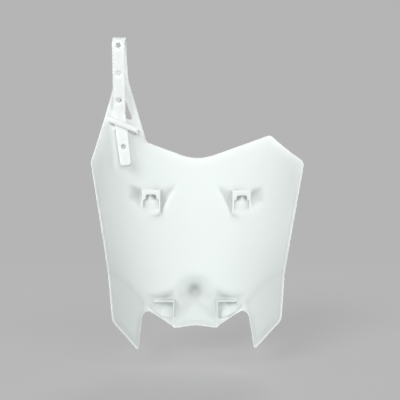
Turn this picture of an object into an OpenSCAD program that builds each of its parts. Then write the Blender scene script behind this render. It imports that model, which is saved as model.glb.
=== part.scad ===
// Front number plate for an off-road motorbike, one moulding in one piece.
// Frame: +Z up, +Y the way the bike travels, +X the rider's right.
// Origin: midway between the two upper sockets, level with their rims and their roofs.
// The front of the plate is its convex side. The wall is hollow towards the rider.

/* [Plate] */
// Wall thickness of the moulding
wall = 2.2; // [1.6:0.1:3]
// Half of the width at the shoulders
shoulder_x = 112.3; // [104:1:120]
// Height of the shoulders
shoulder_z = 31; // [24:0.5:36]
// Half of the width at the foot of the side edges
foot_x = 88; // [84:0.5:94]
// Height of the foot of the side edges
foot_z = -135.5; // [-142:0.5:-128]
// Lowest point of the dip in the top edge, before it is rounded
dip_z = 34; // [28:0.5:40]
// Radius in the dip of the top edge
dip_r = 54; // [30:1:70]
// Sideways place of the horn on the right of the top edge
horn_x = 81; // [74:1:88]
// Height of the horn
horn_z = 63; // [58:0.5:72]

/* [Crown] */
// Radius across the middle of the crown
crown_r = 210; // [180:5:260]
// How far the front of the crown stands ahead of the socket rims
crown_y = 10.5; // [8:0.5:14]
// Radius of the roll along each side
side_r = 100; // [90:1:112]
// Lean of each side roll, so that it follows the side edge
side_lean = 6; // [3:0.1:8]
// Half width of the flat middle where the side rolls begin, at shoulder height
side_start = 62; // [56:1:68]

/* [Fangs] */
// Turn of the flat side facets about the vertical
fang_yaw = 50; // [44:0.5:56]
// Lean of the flat side facets
fang_pitch = 18; // [14:0.5:22]
// Half distance between the fang points
fang_x = 61.5; // [58:0.5:66]
// Height of the fang points
fang_z = -171; // [-178:0.5:-166]
// Half distance between the inner edges of the fangs at the notches
notch_x = 58; // [56:0.5:60]
// Radius at the top of each notch
notch_r = 6; // [4:0.5:8]

/* [Nose and chin] */
// How far the point of the nose stands ahead of the socket rims
nose_y = 26; // [23:0.5:28]
// Height of the nose
nose_z = -115.5; // [-118:0.5:-112]
// Radius of the point of the nose
nose_r = 5; // [3:0.5:7]
// Half of the angle of the cone at the point of the nose
nose_half = 36; // [32:1:40]
// How far the wide cone round the nose stands ahead of the socket rims
flank_y = 20.5; // [19:0.5:22]
// Half of the angle of the wide cone
flank_half = 65; // [62:1:68]
// Half width of the chin
chin_x = 23; // [20:0.5:27]
// Height of the chin's corners
chin_z = -153.2; // [-158:0.2:-151]
// Slope of the chin facet, rearwards as it goes down
chin_pitch = 35; // [32:0.5:38]

/* [Sockets] */
// Half distance between the two upper sockets
upper_x = 51; // [46:0.5:56]
// Half distance between the two lower sockets
lower_x = 34.5; // [32:0.5:37]
// Height of the roofs of the lower sockets
lower_z = -124.5; // [-128:0.5:-121]
// Outer width of a socket
socket_w = 21; // [18:0.5:23]
// Height of a socket's walls
socket_h = 26; // [20:0.5:30]
// Thickness of the socket walls
socket_t = 1.8; // [1.2:0.1:2.4]
// Depth of the upper pockets
pocket_d = 9; // [7:0.5:12]
// Depth of the lower pockets
lower_d = 7; // [5:0.5:9]
// Height of the lid across the top of an upper socket
lid_h = 5.5; // [3:0.5:8]

/* [Arm and strap] */
// Sideways place of the middle of the strap
strap_x = -85.4; // [-88:0.2:-82]
// Width of the strap
strap_w = 13.5; // [11:0.5:15]
// Thickness of the strap
strap_t = 2; // [1.6:0.1:2.4]
// Height of the top of the strap's loop
loop_z = 160.5; // [150:0.5:172]
// Clear gap inside the strap's loop, front to back
loop_gap = 21; // [16:0.5:25]
// Height of the tail's end
tail_z = 25.5; // [18:0.5:34]
// Sideways lean of the strap's tail
tail_lean = 7.8; // [4:0.1:12]
// Diameter of the holes in the strap
hole_d = 5.2; // [4:0.1:6]
// Distance from hole to hole along the strap
hole_pitch = 28; // [25:0.5:30]
// Clearance between the strap and the bridge that holds it down
bridge_gap = 0.8; // [0.4:0.1:1.5]

/* [Hidden] */
$fn = 96;
far = 400;          // reach of the solids that only cut
rear_reach = 60;    // how far behind the socket rims the outline still cuts
sink = 0.6;         // how far an added solid reaches into what carries it
arc_step = 9;       // degrees between the points of a rounded corner

// The crown's middle arc, and the axis of the side roll at its top and its foot. The roll touches
// the middle arc from inside at both heights, where the two surfaces share one tangent.
crown_c = crown_y - crown_r;
roll_proud = 0.4;   // keeps the leaning roll from sinking below the middle arc between its ends
roll_run = shoulder_z - foot_z;
turn_top = asin(side_start / crown_r);
roll_top_x = (crown_r - side_r) * sin(turn_top);
roll_foot_x = roll_top_x - roll_run * tan(side_lean);
turn_foot = asin(roll_foot_x / (crown_r - side_r));
roll_top_y = crown_c + (crown_r - side_r) * cos(turn_top) + roll_proud;
roll_foot_y = crown_c + (crown_r - side_r) * cos(turn_foot) + roll_proud;
roll_tip = atan((roll_foot_y - roll_top_y) / roll_run * cos(side_lean));
crown_top = 125;
crown_foot = -185;

// Corners of the outline as [x, z, radius], clockwise from the left shoulder, seen from behind.
arm_top = 118;
arm_flare = 2.4;    // how much wider than the strap the arm is at its top, on its right
arm_foot_x = -56.6;
top_slope = (horn_z - dip_z) / horn_x;
arm_foot_z = dip_z - top_slope * arm_foot_x - 0.9;
notch_slope = 0.66;
notch_z = chin_z + notch_slope * (notch_x - chin_x);
fang_point_r = 1.2;
chin_rise = 3.2;
ramp_y = 4;         // depth of the top of the ramp below an upper socket's slot
slot_foot = lid_h + 5;
slot_w = 11;        // width of an upper socket's slot
step_x = lower_x - socket_w / 2 - 0.6;      // half width of the chin and cheeks

// The strap: its fold, its two bends and the place of its tail and of the bridge over the tail.
arm_y = -10;        // front of the arm at 112 above the origin
arm_lean = 15;      // the arm leans back as it goes up
fold_r = (loop_gap + strap_t) / 2;
fold_y = arm_y - wall / 2;
fold_z = loop_z - fold_r - strap_t / 2;
loop_back = fold_y - 2 * fold_r;
tail_y = -15.6;
tail_top = 82;
first_hole = -1;    // from the end of the fold down to the first hole
tail_hole = 20.4;   // from the tail's end up to its hole
bridge_y = tail_y - strap_t / 2 - bridge_gap;
waist_in = 2.6;     // how far the side edges draw in at their middle
half_foot = [
    [(shoulder_x + foot_x) / 2 - waist_in, (shoulder_z + foot_z) / 2 - 16, 90],
    [foot_x, foot_z, 15],
    [fang_x, fang_z, fang_point_r],
    [notch_x, notch_z, notch_r],
    [chin_x, chin_z, 2.5]];
corners = concat(
    [[-shoulder_x, shoulder_z - 4, 12], [strap_x - strap_w / 2 - 1, 108, 30],
     [strap_x - strap_w / 2, arm_top, 0.4], [strap_x + strap_w / 2 + arm_flare, arm_top, 0.4],
     [arm_foot_x, arm_foot_z, 5], [0.8, dip_z, dip_r], [horn_x, horn_z, 5.5],
     [shoulder_x, shoulder_z, 10]],
    half_foot,
    [[0, chin_z + chin_rise, 70]],
    [for (i = [len(half_foot) - 1:-1:0]) [-half_foot[i][0], half_foot[i][1], half_foot[i][2]]]);

function unit(v) = v / norm(v);

// Corner of a band's edge, `d` to the left of its middle line through a, b and c.
function mitre(a, b, c, d) =
    let (u = unit(b - a), v = unit(c - b), n = unit([-u[1] - v[1], u[0] + v[0]]))
    b + n * d / (n * [-u[1], u[0]]);
function turn_to(a) = (a + 540) % 360 - 180;

// Points of the arc that rounds corner b between its neighbours a and c.
function rounded(a, b, c, r) =
    let (u = unit(a - b), v = unit(c - b), half = acos(u * v) / 2,
         mid = b + unit(u + v) * r / sin(half),
         from = atan2((b + u * r / tan(half) - mid)[1], (b + u * r / tan(half) - mid)[0]),
         to = atan2((b + v * r / tan(half) - mid)[1], (b + v * r / tan(half) - mid)[0]),
         sweep = turn_to(to - from), n = max(2, ceil(abs(sweep) / arc_step)))
    [for (i = [0:n]) mid + r * [cos(from + sweep * i / n), sin(from + sweep * i / n)]];

function flat(p) = [p[0], p[1]];
function outline(list) =
    let (n = len(list))
    [for (i = [0:n - 1])
        each rounded(flat(list[(i + n - 1) % n]), flat(list[i]), flat(list[(i + 1) % n]), list[i][2])];

// Front-to-back place of the crown's skin, moved in by `inset`.
function roll_x(z) = roll_top_x + (z - shoulder_z) * tan(side_lean);
function roll_y(z) = roll_top_y + (shoulder_z - z) * (roll_foot_y - roll_top_y) / roll_run;
function skin_y(x, z, inset) =
    let (middle = crown_c + sqrt(pow(crown_r - inset, 2) - x * x),
         out = (abs(x) - roll_x(z)) * cos(side_lean))
    out <= 0 ? middle : min(middle, roll_y(z) + sqrt(max(0, pow(side_r - inset, 2) - out * out)));

// Everything behind a flat facet through `at`. Yaw turns it to face the left, pitch to face down.
module behind(at, yaw, pitch, inset) {
    translate(at) rotate([-pitch, 0, yaw])
        translate([-far, -2 * far - inset, -far]) cube(2 * far);
}

module both_sides() {
    children();
    mirror([1, 0, 0]) children();
}

// One side roll with all that lies inwards of the line where it leaves the middle arc.
module side_roll(inset) {
    touch_top = (crown_r - inset) * sin(turn_top);
    touch_foot = (crown_r - inset) * sin(turn_foot);
    translate([roll_top_x, roll_top_y, shoulder_z]) rotate([roll_tip, side_lean, 0])
        translate([0, 0, -far]) cylinder(h = 2 * far, r = side_r - inset);
    translate([touch_top, 0, shoulder_z]) rotate([0, atan((touch_top - touch_foot) / roll_run), 0])
        translate([-far, -far, -far]) cube([far, 2 * far, 2 * far]);
}

module crown(inset) {
    intersection() {
        translate([0, crown_c, crown_foot]) cylinder(h = crown_top - crown_foot, r = crown_r - inset);
        side_roll(inset);
        mirror([1, 0, 0]) side_roll(inset);
    }
}

// The wide cone that points forwards round the nose. Its width stops at the chin's.
module nose_flank(inset) {
    reach = 42;
    half = step_x + inset;
    intersection() {
        translate([0, flank_y - inset / sin(flank_half) - reach, nose_z]) rotate([-90, 0, 0])
            cylinder(h = reach, r1 = reach * tan(flank_half), r2 = 0);
        translate([-half, -far, nose_z - far]) cube([2 * half, 2 * far, 2 * far]);
    }
}

// The point of the nose: a narrower cone with a round tip.
module nose(inset) {
    tip = nose_r - inset;
    depth = 20;
    mouth = tip * cos(nose_half) + (tip * sin(nose_half) + depth) * tan(nose_half);
    translate([0, nose_y - nose_r, nose_z]) rotate([-90, 0, 0])
        rotate_extrude()
            polygon(concat(
                [[0, -depth], [mouth, -depth]],
                [for (i = [0:4]) let (a = nose_half + (90 - nose_half) * i / 5) tip * [cos(a), sin(a)]],
                [[0, tip]]));
}

module fang_facet(inset) {
    at_x = -60;
    at_z = -124;
    behind([at_x, skin_y(at_x, at_z, 0), at_z], fang_yaw, fang_pitch, inset);
}

// The bevel behind each slanted edge beside the chin, where the wall turns back to the rider.
module bevel_facet(inset) {
    edge_y = 0;
    behind([-chin_x, edge_y, chin_z], 21.8, 27, inset);
}

// The lobes of the left pockets: the point of each, then the corners of its mouth.
upper_lobes = [
    [[-upper_x - 10, -8], [[-76, 9], [-50, 3], [-45, -26], [-62, -25], [-77, -11]]],
    [[-upper_x + 9, -19], [[-57, 3], [-18, 12], [-38, -28], [-52, -28]]]];
lower_lobes = [
    [[-lower_x - 1, lower_z - 2],
     [[-64, -110], [-40, -113], [-16, -106], [-16, -150], [-40, -147], [-52, -134]]]];

// A pyramid that stands out of the front, hollow at the back once the wall is taken.
module pocket(tip, mouth, depth, inset) {
    n = len(mouth);
    shrink = inset * 0.5;
    base = [for (p = mouth)
        let (q = p + unit(tip - p) * shrink) [q[0], skin_y(q[0], q[1], inset) - sink, q[1]]];
    root = [tip[0], min([for (p = base) p[1]]) - 12, tip[1]];
    point = [tip[0], skin_y(tip[0], tip[1], 0) + depth - inset * 1.15, tip[1]];
    polyhedron(
        points = concat(base, [point, root]),
        faces = [for (i = [0:n - 1]) each [[i, n, (i + 1) % n], [(i + 1) % n, n + 1, i]]]);
}

module pockets(inset) {
    both_sides() {
        for (lobe = upper_lobes) pocket(lobe[0], lobe[1], pocket_d, inset);
        for (lobe = lower_lobes) pocket(lobe[0], lobe[1], lower_d, inset);
    }
}

// The arm leans back above the top edge: what is cut away in front of its flat face.
module arm_front(inset) {
    difference() {
        translate([-far, -far, 40]) cube([far - 50, 2 * far, far]);
        behind([0, arm_y, 112], 0, -arm_lean, inset);
    }
}

// What is cut away in front of the chin and its two cheeks, which touch the wide cone from below.
module under_nose(inset) {
    half = step_x + inset;
    chin_edge_y = -1;
    at = [0, chin_edge_y, chin_z + chin_rise];
    corner = unit([chin_x, nose_z - at[2] - 4]);
    fall = 1 / tan(flank_half);
    difference() {
        translate([-half, -far, crown_foot]) cube([2 * half, 2 * far, -crown_foot - 60]);
        behind(at, 0, chin_pitch, inset);
    }
    both_sides() difference() {
        translate([-half, -far, crown_foot]) cube([half, 2 * far, -crown_foot - 60]);
        behind([0, flank_y + 0.4, nose_z], atan(fall * corner[0]), atan(fall * corner[1]), inset);
    }
}

// The whole plate as a solid block, moved in by `inset`.
module form(inset) {
    nose(inset);
    difference() {
        union() {
            intersection() {
                union() {
                    crown(inset);
                    nose_flank(inset);
                }
                fang_facet(inset);
                mirror([1, 0, 0]) fang_facet(inset);
                bevel_facet(inset);
                mirror([1, 0, 0]) bevel_facet(inset);
            }
            pockets(inset);
        }
        under_nose(inset);
        arm_front(inset);
    }
}

// Walls of the left upper socket: a roof and two sides, with a lid over the top of its open back.
module upper_socket() {
    half = socket_w / 2;
    reach = 60;
    translate([-upper_x, 0, 0]) {
        difference() {
            translate([-half, 0, -socket_h]) cube([socket_w, reach, socket_h]);
            translate([-half + socket_t, -1, -socket_h - 1])
                cube([socket_w - 2 * socket_t, reach + 2, socket_h - socket_t + 1]);
        }
        translate([-half, 0, -lid_h]) cube([socket_w, socket_t, lid_h]);
        for (x = [-half, slot_w / 2]) translate([x, 0, -slot_foot])
            cube([half - slot_w / 2, socket_t, slot_foot]);
        translate([-half + sink, 0, 0]) rotate([90, 0, 90]) linear_extrude(socket_w - 2 * sink)
            polygon([[ramp_y, -slot_foot], [ramp_y + socket_t, -slot_foot], [1 + socket_t, -socket_h - 2],
                     [1, -socket_h - 2]]);
    }
}

// Walls of the left lower socket: a roof and an inner end, open below to the slanted edge.
module lower_socket() {
    reach = 60;
    outer = -lower_x - socket_w / 2 - 0.5;
    inner = -lower_x + socket_w / 2 + 0.4;
    translate([outer, 0, lower_z - socket_t / 2]) cube([inner - outer, reach, socket_t]);
    translate([inner - socket_t, 0, lower_z - 40]) cube([socket_t, reach, 40]);
}

// The bridge across the strap: a plate on a foot at each end, both feet down to the skin.
module bridge() {
    reach = 60;
    plate = [[-96, 77.6], [-64.4, 65.5], [-66, 60.3], [-96, 72]];
    translate([0, bridge_y, 0]) rotate([90, 0, 0]) linear_extrude(strap_t) polygon(plate);
    translate([0, bridge_y + reach, 0]) rotate([90, 0, 0]) linear_extrude(reach + sink) {
        polygon([plate[0], plate[3], [-94.4, 71.4], [-94.4, 77]]);
        polygon([plate[1], plate[2], [-67.7, 61], [-66.2, 66.2]]);
    }
}

// Space behind the wall: the inner form less the ribs, sockets and bridge that stand in it.
module hollow() {
    difference() {
        form(wall);
        both_sides() {
            upper_socket();
            lower_socket();
        }
        bridge();
    }
}

// The triangular opening in the arm, and the window under the bridge.
module arm_openings() {
    translate([0, far / 2, 0]) rotate([90, 0, 0]) linear_extrude(far / 2 + rear_reach)
        polygon(outline([[-82.6, 105, 3], [-72.2, 76.8, 1.5], [-91.3, 80, 3]]));
    translate([0, far / 2, 0]) rotate([90, 0, 0]) linear_extrude(far / 2 - bridge_y)
        polygon([[-94.2, 75.4], [-66.9, 64.9], [-68, 59.9], [-94.2, 69.3]]);
}

// The band of the strap seen from its side, as far as the start of its tail.
module strap_side() {
    half = strap_t / 2;
    foot = tail_top - 3;
    start = [loop_back, fold_z];
    bend = [tail_y, tail_top];
    near = [for (d = [half, -half])
        [[loop_back + d, fold_z], mitre(start, bend, [tail_y, foot], d), [tail_y + d, foot]]];
    translate([fold_y - fold_r, fold_z]) intersection() {
        difference() {
            circle(fold_r + half);
            circle(fold_r - half);
        }
        translate([-2 * fold_r, -0.01]) square(4 * fold_r);
    }
    translate([fold_y - half, arm_top - 8]) square([strap_t, fold_z - arm_top + 8]);
    polygon(concat(
        [near[0][0]],
        rounded(near[0][0], near[0][1], near[0][2], 9 + strap_t),
        [near[0][2], near[1][2]],
        rounded(near[1][2], near[1][1], near[1][0], 9),
        [near[1][0]]));
}

// The gusset beside the strap's far layer, which widens downwards into the top of the arm.
module gusset() {
    edge = strap_x + strap_w / 2;
    translate([0, fold_y + strap_t / 2, 0]) rotate([90, 0, 0]) linear_extrude(strap_t)
        polygon([[edge - 2, arm_top - 8], [edge - 2, fold_z - 2], [edge, fold_z - 2],
                 [edge + arm_flare, arm_top], [edge + arm_flare, arm_top - 8]]);
}

// The straight tail, leaning to the right as it goes down, with a rounded end.
module tail() {
    run = (tail_top - tail_z) / cos(tail_lean);
    half = strap_w / 2;
    end = half - 0.7;
    translate([strap_x, tail_y + strap_t / 2, tail_top]) rotate([90, -tail_lean, 0])
        linear_extrude(strap_t)
            polygon(concat([[-half, -2]], rounded([-half, 0], [-end, -run], [end, -run], 3),
                           rounded([-end, -run], [end, -run], [half, 0], 3), [[half, -2]]));
}

// Holes at one pitch along the strap: three in the near layer, then one in the tail.
module strap_holes() {
    near = [tail_y - loop_back, tail_top - fold_z];
    turn = 90 + atan2(near[0], -near[1]);
    run = (tail_top - tail_z) / cos(tail_lean);
    for (i = [0:2]) {
        at = [loop_back, fold_z] + unit(near) * (first_hole + i * hole_pitch);
        translate([strap_x, at[0], at[1]]) rotate([turn, 0, 0]) cylinder(h = 8, d = hole_d, center = true);
    }
    translate([strap_x, tail_y, tail_top]) rotate([90, -tail_lean, 0])
        translate([0, tail_hole - run, 0]) cylinder(h = 8, d = hole_d, center = true);
}

module strap() {
    difference() {
        union() {
            translate([strap_x - strap_w / 2, 0, 0]) rotate([90, 0, 90])
                linear_extrude(strap_w) strap_side();
            gusset();
            tail();
        }
        strap_holes();
    }
}

module outline_prism() {
    translate([0, far / 2, 0]) rotate([90, 0, 0])
        linear_extrude(far / 2 + rear_reach) polygon(outline(corners));
}

module number_plate() {
    color("white") {
        intersection() {
            outline_prism();
            difference() {
                form(0);
                hollow();
                arm_openings();
            }
        }
        strap();
    }
}

number_plate();
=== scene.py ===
"""Front number plate of an off-road motorbike, as a moulded white shell on a pale studio stage."""

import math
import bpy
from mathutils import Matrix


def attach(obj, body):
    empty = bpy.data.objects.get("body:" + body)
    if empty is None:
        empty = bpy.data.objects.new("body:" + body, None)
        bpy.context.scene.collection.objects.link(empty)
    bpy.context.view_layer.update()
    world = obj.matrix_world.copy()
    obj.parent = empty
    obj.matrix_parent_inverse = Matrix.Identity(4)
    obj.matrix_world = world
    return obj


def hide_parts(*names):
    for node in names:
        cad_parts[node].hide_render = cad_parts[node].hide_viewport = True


bl_info = {
    "name": "Front Number Plate",
    "version": (1, 0, 0),
    "blender": (4, 5, 0),
    "location": "View3D > Sidebar > Number Plate",
    "description": "Builds a moulded front number plate with its strap, and a studio stage round it",
    "category": "Object",
}

import bmesh
import bpy
import numpy as np
from mathutils import Matrix, Vector
from mathutils.kdtree import KDTree

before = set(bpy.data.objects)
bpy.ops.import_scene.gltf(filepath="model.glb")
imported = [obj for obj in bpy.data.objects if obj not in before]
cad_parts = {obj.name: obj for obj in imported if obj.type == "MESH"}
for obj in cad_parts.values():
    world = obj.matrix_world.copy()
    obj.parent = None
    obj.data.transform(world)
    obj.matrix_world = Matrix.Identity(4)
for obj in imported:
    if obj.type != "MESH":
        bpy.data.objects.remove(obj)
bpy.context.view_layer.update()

# How the CAD mesh becomes the shell's mesh. Lengths are in metres.
MERGE_DISTANCE = 2e-6
WALL_TURN = 0.4  # a normal with less of Y than this belongs to a wall that runs front to back
CALM_EDGES = 5  # edges from such a wall to where the creases are smoothed in full
WEIGHT_STEPS = 20
SMOOTH_FACTOR = 0.5
RIM_SMOOTHING = 2
NOSE_MIDDLE_RISE = 0.012  # the nose's smoothing is centred this far above its point
NOSE_LOWER_EDGE = -0.006
NOSE_LOWER_FADE = 0.0015

# Areas of the plate that get looks of their own: distance from the middle plane, half width, height,
# half height, and how square the area is. The tail's first number is its place along X.
AREAS = {
    "socket_webs": (0.051, 0.0125, -0.012, 0.018, 6),
    "socket_inside": (0.051, 0.0105, -0.013, 0.0145, 6),
    "socket_surround": (0.051, 0.02, -0.013, 0.025, 8),
    "socket_shadows": (0.05, 0.03, -0.01, 0.03, 4),
    "pocket": (0.031, 0.017, -0.133, 0.0135, 6),
    "pocket_mouth": (0.034, 0.013, -0.136, 0.0115, 6),
    "above_pocket_bar": (0.0345, 0.0065, -0.1212, 0.0032, 2),
    "strap_tail": (-0.082, 0.014, 0.052, 0.03, 6),
}

# Where shade is painted on the plastic, and how much: the rolled sides, the lower corners, the cheeks and chin
# under the nose, and the strap's tail.
SIDE_TOP = 0.045
SIDE_FADE = 0.01
CORNER_FADE = 0.018
NOSE_FADE = 0.002
CHIN_DROP = 0.0129  # the tip of the chin's triangle lies this far below the nose
CHIN_SLOPE = 0.85
CHIN_FADE = 0.0009
CHEEK_WIDTH = 0.034
CHIN_WIDTH = 0.03
STRAP_FACE = -0.016  # the tail lies on this side of the shell along Y
STRAP_FADE = 0.0006
SIDE_SHADE = 0.5
CORNER_SHADE = 1.9
CHEEK_SHADE = 1.1
CHIN_SHADE = 0.7
STRAP_SHADE = 0.9
MOST_SHADE = 2

# Where highlights are painted on the edges, and in a band along the upper rim.
EDGE_ROUNDS = 2
EDGE_TURN = 4
POCKET_EDGE_LOSS = 0.85
RIM_BAND = 0.45
RIM_BAND_WIDTH = 0.006
RIM_BAND_BOTTOM = 0.02
RIM_BAND_FADE = 0.004

# Where shade is painted in the hollow corners, the sockets, the nose and the lip's grooves, and how much.
HOLLOW_ROUNDS = 80
MOST_HOLLOW = 0.6
SOCKET_SHADOW_SHADE = 0.35
MOUTH_SHADE_LOSS = 0.8
SOCKET_SHADE = 0.15
ABOVE_BAR_SHADE = 0.8
NOSE_SHADE = 1.35
MOST_HOLLOW_SHADE = 1.6
LIP = 0.0027  # the groove of the lip, from the rim
LIP_SHADE = 0.45
INNER_LIP = 0.005
LIP_WIDTH = 0.0006
FOOT_TOP = -0.135
FOOT_FADE = 0.003
FOOT_LIP_SHADE = 0.5
FOOT_INNER_LIP_SHADE = 0.8

# The stage. A lamp is a disc: name, place, size and power.
FLOOR_HEIGHT = -0.19
FLOOR_REACH = 30.0
LAMPS = (
    ("key", (-1.9, -2.5, 1.65), 2.0, 62.0),
    ("fill", (1.75, -2.5, 1.3), 3.3, 42.0),
    ("front", (0.0, -3.5, 0.33), 0.66, 26.0),
    ("far_key", (1.4, 2.7, 1.9), 2.5, 50.0),
    ("far_fill", (-2.0, 2.5, 0.9), 2.5, 25.0),
)
LAMP_TARGET = Vector((0, 0, -0.01))
SENSOR_WIDTH = 36.0
FOCAL_PIXELS = 482.84
PICTURE_WIDTH = 400.0
CLIP_START = 0.01
CAMERA_TARGET = Vector((0.0037, 0, -0.0107))

# The Mix node's sockets for two colours share their names with others, so they go by number.
MIX_FACTOR, MIX_FIRST, MIX_SECOND = 0, 6, 7
MIX_RESULT = 2


class Socket:
    """A shader socket that adds Math nodes when it is used in an expression."""

    def __init__(self, build, socket):
        self.build = build
        self.socket = socket

    def _math(self, operation, *values):
        return self.build.node("ShaderNodeMath", {"operation": operation}, dict(enumerate(values)))

    def __add__(self, other):
        return self._math("ADD", self, other)

    def __radd__(self, other):
        return self._math("ADD", other, self)

    def __sub__(self, other):
        return self._math("SUBTRACT", self, other)

    def __rsub__(self, other):
        return self._math("SUBTRACT", other, self)

    def __mul__(self, other):
        return self._math("MULTIPLY", self, other)

    def __rmul__(self, other):
        return self._math("MULTIPLY", other, self)

    def above(self, edge, width):
        """0 below the edge and 1 above it, with a soft step of that width."""
        return self.build.node(
            "ShaderNodeMapRange",
            {"interpolation_type": "SMOOTHSTEP"},
            {"Value": self, "From Min": edge - width / 2, "From Max": edge + width / 2},
        )


class Build:
    """The node tree of one material or world."""

    def __init__(self, tree):
        self.tree = tree
        tree.nodes.clear()

    def node(self, kind, settings=None, inputs=None, output=0):
        """Adds a node with its settings and the values or links of its sockets, and gives one output."""
        node = self.tree.nodes.new(kind)
        for name, value in (settings or {}).items():
            setattr(node, name, value)
        for name, value in (inputs or {}).items():
            if isinstance(value, Socket):
                self.tree.links.new(value.socket, node.inputs[name])
            else:
                node.inputs[name].default_value = value
        return Socket(self, node.outputs[output]) if node.outputs else node

    def place(self):
        """The place on the object."""
        return self.node("ShaderNodeTexCoord", output="Object")

    def attribute(self, name):
        """A number that the mesh carries at its points."""
        return self.node("ShaderNodeAttribute", {"attribute_name": name}, output="Fac")

    def mix(self, factor, first, second):
        """A blend of two colours."""
        colours = {MIX_FACTOR: factor, MIX_FIRST: first, MIX_SECOND: second}
        return self.node("ShaderNodeMix", {"data_type": "RGBA"}, colours, MIX_RESULT)

    def noise(self, place, scale, detail):
        return self.node("ShaderNodeTexNoise", {}, {"Vector": place, "Scale": scale, "Detail": detail})

    def plainly_seen(self):
        """1 for rays from the camera, in reflections and through the part, so that they see the plain tone."""
        camera, glossy, through = (
            self.node("ShaderNodeLightPath", output=name)
            for name in ("Is Camera Ray", "Is Glossy Ray", "Is Transmission Ray")
        )
        return camera + glossy + through


def rgb(colour):
    return (colour[0], colour[1], colour[2], 1.0)


def moulded_plastic(settings):
    """White polypropylene: a fine moulded grain, a slight cloudiness and faint rubbed patches.

    The mesh's own numbers say where shade is painted on the sides, corners, chin and tail, where shade is painted
    in the hollows, and where highlights are painted on the edges.
    """
    material = bpy.data.materials.new("moulded_plastic")
    material.use_nodes = True
    build = Build(material.node_tree)
    place = build.place()
    cloud = build.noise(place, scale=14.0, detail=3.0)
    rubbed = build.noise(place, scale=55.0, detail=4.0).above(edge=0.62, width=0.16)
    grain = build.noise(place, scale=2600.0, detail=1.0)
    ripple = build.noise(place, scale=38.0, detail=1.0)
    colour = build.mix(cloud, rgb(settings.plastic_colour), rgb(settings.plastic_shade))
    # Painted shade on the rolled sides, the lower corners, the cheeks, the chin and the strap's tail.
    colour = build.mix(build.attribute("painted_shade") * settings.painted_shade_strength, colour, rgb(settings.painted_shade_colour))
    # Painted shade in the hollow corners, the sockets, the nose and the lip's grooves.
    colour = build.mix(build.attribute("hollow") * settings.hollow_shading, colour, rgb(settings.hollow_shade_colour))
    # Painted highlight on the edges and in a band along the upper rim.
    colour = build.mix(build.attribute("edge") * settings.edge_shine, colour, rgb(settings.edge_highlight_colour))
    relief = build.node(
        "ShaderNodeBump", {}, {"Strength": 0.35, "Distance": 0.0002, "Height": grain * 0.35 + ripple}
    )
    surface = build.node(
        "ShaderNodeBsdfPrincipled",
        {},
        {
            "Base Color": colour,
            "Roughness": 0.42 + 0.1 * cloud - 0.07 * rubbed,
            "IOR": 1.49,
            "Subsurface Weight": settings.translucency,
            "Subsurface Radius": (1.0, 1.0, 0.9),
            "Subsurface Scale": settings.glow_depth,
            "Normal": relief,
        },
    )
    build.node("ShaderNodeOutputMaterial", {}, {"Surface": surface})
    return material


def backdrop_paint(settings):
    """Matt pale paint that the camera sees mostly at one plain tone, and the rest keeps the shadow.

    Far away only the plain tone is left, so no horizon shows. From beneath, the paint lets the view through.
    """
    material = bpy.data.materials.new("backdrop_paint")
    material.use_nodes = True
    build = Build(material.node_tree)
    paint = build.node("ShaderNodeBsdfPrincipled", {}, {"Base Color": rgb(settings.floor_colour), "Roughness": 0.9})
    tone = build.node("ShaderNodeEmission", {}, {"Color": rgb(settings.backdrop_colour), "Strength": 1.0})
    distance = build.node("ShaderNodeVectorMath", {"operation": "LENGTH"}, {0: build.place()}, "Value")
    far = distance.above(edge=0.75, width=0.9)
    seen = build.plainly_seen() * (settings.plainness + (1 - settings.plainness) * far)
    upper = build.node("ShaderNodeMixShader", {}, {0: seen, 1: paint, 2: tone})
    under = build.node("ShaderNodeBsdfTransparent", {}, {"Color": rgb((1, 1, 1))})
    beneath = build.node("ShaderNodeNewGeometry", output="Backfacing")
    surface = build.node("ShaderNodeMixShader", {}, {0: beneath, 1: upper, 2: under})
    build.node("ShaderNodeOutputMaterial", {}, {"Surface": surface})
    return material


def studio_world(settings):
    """Even light from all round, in front of which the camera sees the plain tone."""
    world = bpy.data.worlds.new("studio")
    world.use_nodes = True
    build = Build(world.node_tree)
    glow = build.node("ShaderNodeBackground", {}, {"Color": rgb((1, 1, 1)), "Strength": settings.sky})
    far = build.node("ShaderNodeBackground", {}, {"Color": rgb(settings.backdrop_colour), "Strength": 1.0})
    sky = build.node("ShaderNodeMixShader", {}, {0: build.plainly_seen(), 1: glow, 2: far})
    build.node("ShaderNodeOutputWorld", {}, {"Surface": sky})
    return world


def new_object(name, data):
    piece = bpy.data.objects.new(name, data)
    bpy.context.scene.collection.objects.link(piece)
    return piece


def evaluated_mesh(piece):
    """The piece's mesh with its modifiers carried out."""
    depsgraph = bpy.context.evaluated_depsgraph_get()
    return bpy.data.meshes.new_from_object(piece.evaluated_get(depsgraph), depsgraph=depsgraph)


def places(mesh):
    spots = np.empty(len(mesh.vertices) * 3)
    mesh.vertices.foreach_get("co", spots)
    return spots.reshape(-1, 3)


def facing(mesh):
    normals = np.empty(len(mesh.vertices) * 3, dtype=np.float32)
    mesh.vertex_normals.foreach_get("vector", normals)
    return normals.reshape(-1, 3)


def edge_ends(mesh):
    """The numbers of the points at the two ends of every edge."""
    ends = np.empty(len(mesh.edges) * 2, dtype=np.int32)
    mesh.edges.foreach_get("vertices", ends)
    return ends.reshape(-1, 2).T


def on_wall(mesh):
    """Whether each point is on a wall that runs front to back, such as a rim or a socket's side."""
    return np.abs(facing(mesh)[:, 1]) < WALL_TURN


def away_from_walls(mesh, steps):
    """0 on the walls that run front to back, rising to 1 in that many edges."""
    first, second = edge_ends(mesh)
    depth = np.where(on_wall(mesh), 0.0, float(steps))
    for _ in range(steps):
        np.minimum.at(depth, first, depth[second] + 1)
        np.minimum.at(depth, second, depth[first] + 1)
    return depth / steps


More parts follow.
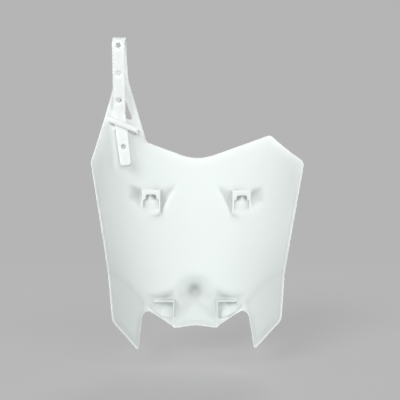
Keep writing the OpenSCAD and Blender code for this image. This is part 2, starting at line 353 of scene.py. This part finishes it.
def wall_distance(mesh):
    """From each point to the nearest wall that runs front to back, in metres."""
    spots = places(mesh)
    walls = spots[on_wall(mesh)]
    tree = KDTree(len(walls))
    for index, wall in enumerate(walls):
        tree.insert(wall, index)
    tree.balance()
    return np.array([tree.find(spot)[2] for spot in spots])


def neighbours_mean(mesh, values, rounds):
    """The values, averaged with those of the neighbouring points that many times over."""
    first, second = edge_ends(mesh)
    count = np.bincount(first, minlength=len(values)) + np.bincount(second, minlength=len(values))
    for _ in range(rounds):
        total = np.zeros_like(values)
        for column in range(values.shape[1]):
            total[:, column] += np.bincount(first, values[second, column], len(values))
            total[:, column] += np.bincount(second, values[first, column], len(values))
        values = 0.5 * values + 0.5 * total / count[:, None]
    return values


def bulge(mesh, rounds, scale):
    """1 on an edge that stands out, -1 in a hollow corner and 0 where the surface is flat."""
    spots = places(mesh)
    drift = np.einsum("ij,ij->i", spots - neighbours_mean(mesh, spots, rounds), facing(mesh))
    return np.clip(drift / scale, -1.0, 1.0)


def below(values, edge, fade):
    """1 below the edge and 0 above it, with a soft step."""
    return 1 / (1 + np.exp((values - edge) / fade))


def beyond(values, edge, fade):
    """0 below the edge and 1 above it, with a soft step."""
    return 1 / (1 + np.exp((edge - values) / fade))


def patch(offset, size, power):
    """1 in the middle of a patch, falling softly to 0 at its edge."""
    return np.exp(-np.abs(offset / size) ** power)


def area(name, across, height):
    """1 in the middle of a named area of the plate, falling softly to 0 at its edge."""
    middle, half_width, level, half_height, power = AREAS[name]
    return patch(across - middle, half_width, power) * patch(height - level, half_height, power)


def nose_point(spots, settings):
    """1 at the point of the nose, falling softly to 0 round it."""
    reach = np.hypot(spots[:, 0], spots[:, 2] - settings.nose_height) / settings.nose_width
    return np.exp(-reach * reach)


def add_attribute(mesh, name, values):
    layer = mesh.attributes.new(name, "FLOAT", "POINT")
    layer.data.foreach_set("value", values.astype(np.float32))


def add_group(piece, name, weights):
    group = piece.vertex_groups.new(name=name)
    levels = np.round(weights * WEIGHT_STEPS).astype(int)
    for level in range(1, WEIGHT_STEPS + 1):
        group.add(np.flatnonzero(levels == level).tolist(), level / WEIGHT_STEPS, "REPLACE")


def wrapped_mesh(source, grid):
    """An even mesh that lies on the surface of the CAD mesh."""
    work = bmesh.new()
    work.from_mesh(source.data)
    bmesh.ops.remove_doubles(work, verts=work.verts, dist=MERGE_DISTANCE)
    exact = bpy.data.meshes.new("exact_shell")
    work.to_mesh(exact)
    work.free()
    guide = new_object("exact_shell", exact)
    draft = new_object("draft_shell", exact.copy())
    remesh = draft.modifiers.new("Remesh", "REMESH")
    remesh.mode = "VOXEL"
    remesh.voxel_size = grid
    wrap = draft.modifiers.new("Shrinkwrap", "SHRINKWRAP")
    wrap.target = guide
    wrap.wrap_method = "NEAREST_SURFACEPOINT"
    mesh = evaluated_mesh(draft)
    bpy.data.objects.remove(draft)
    bpy.data.objects.remove(guide)
    return mesh


def softened_mesh(rough, settings):
    """The shell with rounded creases: most on its open faces, more in the sockets and round the nose."""
    shell = new_object("rough_shell", rough)
    calm = away_from_walls(rough, CALM_EDGES)
    spots = places(rough)
    rise = spots[:, 2] - settings.nose_height
    span = np.hypot(spots[:, 0], rise - NOSE_MIDDLE_RISE) / settings.nose_reach
    round_nose = calm * beyond(rise, NOSE_LOWER_EDGE, NOSE_LOWER_FADE) * np.exp(-(span ** 4))
    add_group(shell, "sockets", area("socket_webs", np.abs(spots[:, 0]), spots[:, 2]))
    add_group(shell, "soft", calm)
    add_group(shell, "nose", round_nose)
    for name, iterations, group in (
        ("Edges", RIM_SMOOTHING, ""),
        ("Creases", settings.softness, "soft"),
        ("Webs", settings.web_softness, "sockets"),
        ("Nose", settings.nose_softness, "nose"),
    ):
        smooth = shell.modifiers.new(name, "SMOOTH")
        smooth.factor = SMOOTH_FACTOR
        smooth.iterations = iterations
        smooth.vertex_group = group
    mesh = evaluated_mesh(shell)
    bpy.data.objects.remove(shell)
    return mesh


def draw_out_nose(mesh, settings):
    spots = places(mesh)
    spots[:, 1] += settings.nose_depth * nose_point(spots, settings)
    mesh.vertices.foreach_set("co", spots.ravel())
    mesh.update()


def thinned_mesh(dense_mesh, share):
    """The mesh with that share of its faces, so that it stays under 200,000 triangles."""
    dense = new_object("dense_shell", dense_mesh)
    thin = dense.modifiers.new("Thin", "DECIMATE")
    thin.ratio = share
    mesh = evaluated_mesh(dense)
    bpy.data.objects.remove(dense)
    return mesh


def painted_shade_amount(spots, settings):
    """How much shade is painted on the plastic: on the rolled sides, the lower corners, round the chin and on the
    tail.
    """
    x, y, z = spots.T
    across = np.abs(x)
    side = (x / x.max()) ** 2 * below(z, SIDE_TOP, SIDE_FADE)
    corner = side * below(z, settings.corner_height, CORNER_FADE)
    under = below(z, settings.nose_height, NOSE_FADE)
    outside_chin = beyond(z + CHIN_SLOPE * across, settings.nose_height - CHIN_DROP, CHIN_FADE)
    cheek = under * outside_chin * patch(across, CHEEK_WIDTH, 6)
    chin = under * (1 - outside_chin) * patch(across, CHIN_WIDTH, 6)
    strap = below(y, STRAP_FACE, STRAP_FADE) * area("strap_tail", x, z)
    total = SIDE_SHADE * side + CORNER_SHADE * corner + CHEEK_SHADE * cheek
    total += CHIN_SHADE * chin + STRAP_SHADE * strap
    return np.clip(total, 0, MOST_SHADE)


def painted_edge_highlight(mesh, spots, rim, settings):
    """How much highlight is painted on the edges, and in the band along the upper rim."""
    across, z = np.abs(spots[:, 0]), spots[:, 2]
    turned = np.clip(EDGE_TURN - EDGE_TURN * np.abs(facing(mesh)[:, 1]), 0, 1)
    edge = turned * np.maximum(bulge(mesh, EDGE_ROUNDS, settings.edge_reach), 0)
    edge = edge * (1 - POCKET_EDGE_LOSS * area("pocket", across, z))
    band = RIM_BAND * patch(rim, RIM_BAND_WIDTH, 2) * beyond(z, RIM_BAND_BOTTOM, RIM_BAND_FADE)
    return np.maximum(edge, band)


def lip_lines(across, z, rim):
    """Painted shade lines along the lip's fine grooves: one along the sides, and a second one at the foot of the
    plate.
    """
    foot = below(z, FOOT_TOP, FOOT_FADE)
    lines = (LIP_SHADE + FOOT_LIP_SHADE * foot) * patch(rim - LIP, LIP_WIDTH, 2)
    lines += FOOT_INNER_LIP_SHADE * foot * patch(rim - INNER_LIP, LIP_WIDTH, 2)
    clear = (1 - area("pocket", across, z)) * (1 - area("socket_surround", across, z))
    return lines * clear * (z < 0)


def painted_hollow_shade(mesh, spots, rim, settings):
    """How much shade is painted in the hollow corners, the sockets, the nose and the grooves of the lip."""
    across, z = np.abs(spots[:, 0]), spots[:, 2]
    inside = facing(mesh)[:, 1] < 0
    deep = np.clip(-bulge(mesh, HOLLOW_ROUNDS, settings.hollow_reach), 0, MOST_HOLLOW)
    deep = deep * (1 + SOCKET_SHADOW_SHADE * area("socket_shadows", across, z))
    deep = deep * (1 - MOUTH_SHADE_LOSS * area("pocket_mouth", across, z))
    deep += SOCKET_SHADE * area("socket_inside", across, z) * inside
    deep += ABOVE_BAR_SHADE * area("above_pocket_bar", across, z) * inside
    deep = np.maximum(deep, lip_lines(across, z, rim))
    deep = np.maximum(deep, NOSE_SHADE * nose_point(spots, settings) * inside)
    return np.minimum(deep, MOST_HOLLOW_SHADE)


class PlateSettings(bpy.types.PropertyGroup):
    grid: bpy.props.FloatProperty(
        name="Mesh size", description="Edge length of the shell's mesh", default=0.00105, unit="LENGTH"
    )
    kept_faces: bpy.props.FloatProperty(
        name="Kept faces",
        description="Share of the dense shell's faces that is kept",
        default=0.72,
        min=0.1,
        max=1.0,
        subtype="FACTOR",
    )
    softness: bpy.props.IntProperty(
        name="Softness", description="Smoothing steps that round the creases of the moulding", default=40
    )
    web_softness: bpy.props.IntProperty(
        name="Web softness", description="Further smoothing steps in the upper sockets", default=8
    )
    nose_softness: bpy.props.IntProperty(
        name="Nose softness", description="Further smoothing steps round the nose", default=60
    )
    nose_reach: bpy.props.FloatProperty(
        name="Nose reach", description="Radius of that further smoothing", default=0.026, unit="LENGTH"
    )
    nose_depth: bpy.props.FloatProperty(
        name="Nose depth", description="How far the point of the nose is drawn out", default=0.0008, unit="LENGTH"
    )
    nose_width: bpy.props.FloatProperty(
        name="Nose width", description="Radius of the drawn point of the nose", default=0.0095, unit="LENGTH"
    )
    nose_height: bpy.props.FloatProperty(
        name="Nose height", description="Height of the point of the nose", default=-0.1155, unit="LENGTH"
    )
    plastic_colour: bpy.props.FloatVectorProperty(
        name="Plastic", description="Colour of the plastic", subtype="COLOR", default=(0.79, 0.845, 0.835)
    )
    plastic_shade: bpy.props.FloatVectorProperty(
        name="Plastic shade", description="Colour of its darker clouds", subtype="COLOR", default=(0.76, 0.8, 0.79)
    )
    # The colour and strength of the shade painted on the sides, corners, cheeks, chin and tail.
    painted_shade_colour: bpy.props.FloatVectorProperty(
        name="Painted shade", description="Colour of the painted shade", subtype="COLOR", default=(0.55, 0.59, 0.57)
    )
    painted_shade_strength: bpy.props.FloatProperty(
        name="Painted shading", description="How much shade is painted on the sides and the lower corners", default=0.45, subtype="FACTOR"
    )
    corner_height: bpy.props.FloatProperty(
        name="Corner height", description="Below this more shade is painted on the corners", default=-0.075, unit="LENGTH"
    )
    # The colour and strength of the shade painted in the hollows.
    hollow_shade_colour: bpy.props.FloatVectorProperty(
        name="Hollow shade", description="Colour of the shade painted in hollow corners", subtype="COLOR", default=(0.36, 0.38, 0.35)
    )
    hollow_shading: bpy.props.FloatProperty(
        name="Hollow shading", description="How much shade is painted in the deepest corners", default=0.4, subtype="FACTOR"
    )
    hollow_reach: bpy.props.FloatProperty(
        name="Hollow depth", description="Depth of a fully shaded corner", default=0.0013, unit="LENGTH"
    )
    # The colour, strength and reach of the highlights painted on the edges.
    edge_highlight_colour: bpy.props.FloatVectorProperty(
        name="Edge", description="Colour of the highlights painted on the edges", subtype="COLOR", default=(0.95, 0.97, 0.96)
    )
    edge_shine: bpy.props.FloatProperty(
        name="Edge shine",
        description="How much of the edge colour shows on the sharpest edges",
        default=0.9,
        subtype="FACTOR",
    )
    edge_reach: bpy.props.FloatProperty(
        name="Edge reach", description="Rise of an edge with the full painted highlight", default=0.00008, unit="LENGTH"
    )
    translucency: bpy.props.FloatProperty(
        name="Translucency",
        description="Share of the light that spreads inside the plastic",
        default=0.4,
        subtype="FACTOR",
    )
    glow_depth: bpy.props.FloatProperty(
        name="Glow depth", description="How far light spreads inside the plastic", default=0.0015, unit="LENGTH"
    )


class StageSettings(bpy.types.PropertyGroup):
    floor_colour: bpy.props.FloatVectorProperty(
        name="Floor", description="Colour of the floor's paint", subtype="COLOR", default=(0.6, 0.6, 0.6)
    )
    backdrop_colour: bpy.props.FloatVectorProperty(
        name="Backdrop", description="Plain tone that the camera sees", subtype="COLOR", default=(0.46, 0.46, 0.46)
    )
    plainness: bpy.props.FloatProperty(
        name="Plainness",
        description="Share of the plain tone in what the camera sees of the floor",
        default=0.5,
        subtype="FACTOR",
    )
    sky: bpy.props.FloatProperty(
        name="Sky", description="Strength of the light from all round", default=0.14
    )
    distance: bpy.props.FloatProperty(
        name="Distance", description="From the camera to the socket rims", default=0.5415, unit="LENGTH"
    )
    azimuth: bpy.props.FloatProperty(
        name="Azimuth", description="Turn of the camera round the plate", default=math.radians(3.8), subtype="ANGLE"
    )
    roll: bpy.props.FloatProperty(
        name="Roll", description="Roll of the camera", default=math.radians(0.6), subtype="ANGLE"
    )


class NUMBERPLATE_OT_shell(bpy.types.Operator):
    """Builds the moulded shell with its sockets, bridge and strap"""

    bl_idname = "numberplate.shell"
    bl_label = "Moulded Shell"

    def execute(self, context):
        settings = context.scene.plate_settings
        rough = wrapped_mesh(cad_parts["number_plate"], settings.grid)
        dense = softened_mesh(rough, settings)
        draw_out_nose(dense, settings)
        spots, rim = places(dense), wall_distance(dense)
        # Painted shade on the sides, corners, cheeks, chin and tail.
        add_attribute(dense, "painted_shade", painted_shade_amount(spots, settings))
        # Painted highlights on the edges and the upper rim.
        add_attribute(dense, "edge", painted_edge_highlight(dense, spots, rim, settings))
        # Painted shade in the hollows, the sockets, the nose and the lip's grooves.
        add_attribute(dense, "hollow", painted_hollow_shade(dense, spots, rim, settings))
        mesh = thinned_mesh(dense, settings.kept_faces)
        mesh.shade_smooth()
        mesh.materials.clear()
        mesh.materials.append(moulded_plastic(settings))
        piece = new_object("moulded_shell", mesh)
        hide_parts("number_plate")
        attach(piece, "root")
        return {"FINISHED"}


class NUMBERPLATE_OT_stage(bpy.types.Operator):
    """Builds the floor, the backdrop, the lamps and the camera"""

    bl_idname = "numberplate.stage"
    bl_label = "Stage"

    def execute(self, context):
        settings = context.scene.stage_settings
        self.lay_floor(settings)
        context.scene.world = studio_world(settings)
        self.hang_lamps()
        context.scene.camera = self.set_camera(settings)
        context.scene.view_settings.view_transform = "Standard"
        return {"FINISHED"}

    def lay_floor(self, settings):
        work = bmesh.new()
        bmesh.ops.create_grid(work, x_segments=1, y_segments=1, size=FLOOR_REACH)
        mesh = bpy.data.meshes.new("floor")
        work.to_mesh(mesh)
        work.free()
        mesh.transform(Matrix.Translation((0, 0, FLOOR_HEIGHT)))
        mesh.materials.append(backdrop_paint(settings))
        floor = new_object("floor", mesh)

    def hang_lamps(self):
        for name, place, size, power in LAMPS:
            lamp = bpy.data.lights.new(name, "AREA")
            lamp.shape = "DISK"
            lamp.size = size
            lamp.energy = power
            holder = new_object(name, lamp)
            holder.location = place
            aim = LAMP_TARGET - Vector(place)
            holder.rotation_euler = aim.to_track_quat("-Z", "Y").to_euler()

    def set_camera(self, settings):
        camera = bpy.data.cameras.new("camera")
        camera.sensor_width = SENSOR_WIDTH
        camera.lens = SENSOR_WIDTH * FOCAL_PIXELS / PICTURE_WIDTH
        camera.clip_start = CLIP_START
        holder = new_object("camera", camera)
        away = Vector((-math.sin(settings.azimuth), -math.cos(settings.azimuth), 0))
        holder.location = CAMERA_TARGET + away * settings.distance
        turn = (-away).to_track_quat("-Z", "Y").to_matrix()
        spin = Matrix.Rotation(settings.roll, 3, "Z")
        holder.rotation_euler = (turn @ spin).to_euler()
        return holder


class NUMBERPLATE_PT_panel(bpy.types.Panel):
    """Lists the plate's sizes and the steps that build it"""

    bl_idname = "NUMBERPLATE_PT_panel"
    bl_label = "Front Number Plate"
    bl_space_type = "VIEW_3D"
    bl_region_type = "UI"
    bl_category = "Number Plate"

    def draw(self, context):
        layout = self.layout
        for group in (context.scene.plate_settings, context.scene.stage_settings):
            box = layout.box()
            for name in group.__annotations__:
                box.prop(group, name)
        for operator in OPERATORS:
            layout.operator(operator.bl_idname)


OPERATORS = (NUMBERPLATE_OT_shell, NUMBERPLATE_OT_stage)
CLASSES = (PlateSettings, StageSettings) + OPERATORS + (NUMBERPLATE_PT_panel,)


def register():
    for each in CLASSES:
        bpy.utils.register_class(each)
    bpy.types.Scene.plate_settings = bpy.props.PointerProperty(type=PlateSettings)
    bpy.types.Scene.stage_settings = bpy.props.PointerProperty(type=StageSettings)


def unregister():
    del bpy.types.Scene.stage_settings
    del bpy.types.Scene.plate_settings
    for each in reversed(CLASSES):
        bpy.utils.unregister_class(each)


def main():
    register()
    bpy.ops.numberplate.shell()
    bpy.ops.numberplate.stage()


if __name__ == "__main__":
    main()
